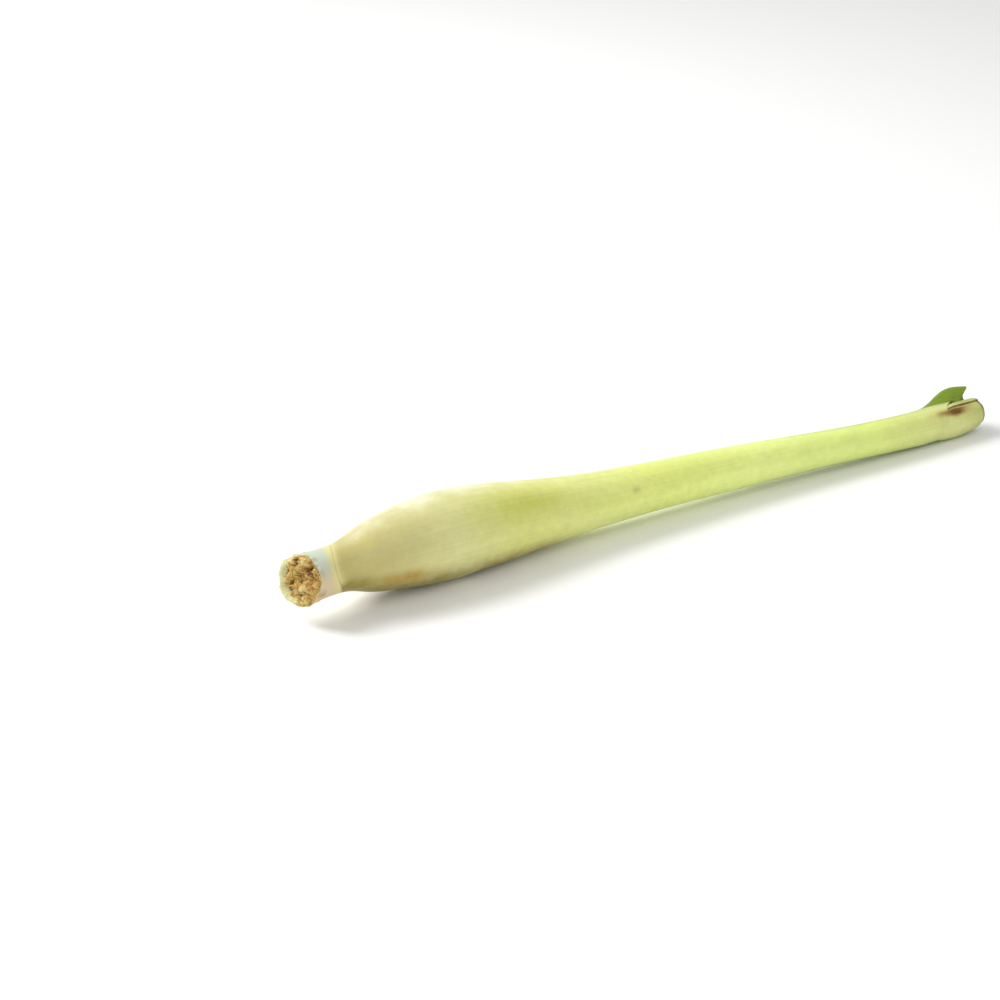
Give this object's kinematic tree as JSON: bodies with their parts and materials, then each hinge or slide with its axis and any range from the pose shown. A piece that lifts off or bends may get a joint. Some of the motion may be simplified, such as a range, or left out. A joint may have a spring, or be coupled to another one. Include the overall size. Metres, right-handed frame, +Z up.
{
  "type": "lemongrass stalk",
  "caption": "Trimmed lemongrass stalk lying down: rough cut base, pale bulb, long sheath turning green, blade stub and nested leaves at the cut end.",
  "frame": {"origin": "on the table, under the middle of the stalk", "axes": "+X along the stalk from the cut base to the leafy end, +Z up, -Y to the front"},
  "size_m": [0.2362, 0.0244, 0.0236],
  "materials": {
    "stem": "rough cut, torn fibres",
    "outer_leaf": "smooth and waxy, cream at the bulb and yellow-green at the far end",
    "second_leaf": "smooth and waxy, yellow-green",
    "inner_leaves": "moist cut, pale"
  },
  "bodies": {
    "root": {"stem_base": "stem", "outer_leaf": "outer_leaf", "second_leaf": "second_leaf", "third_leaf": "inner_leaves", "inner_roll": "inner_leaves"}
  },
  "joints": []
}
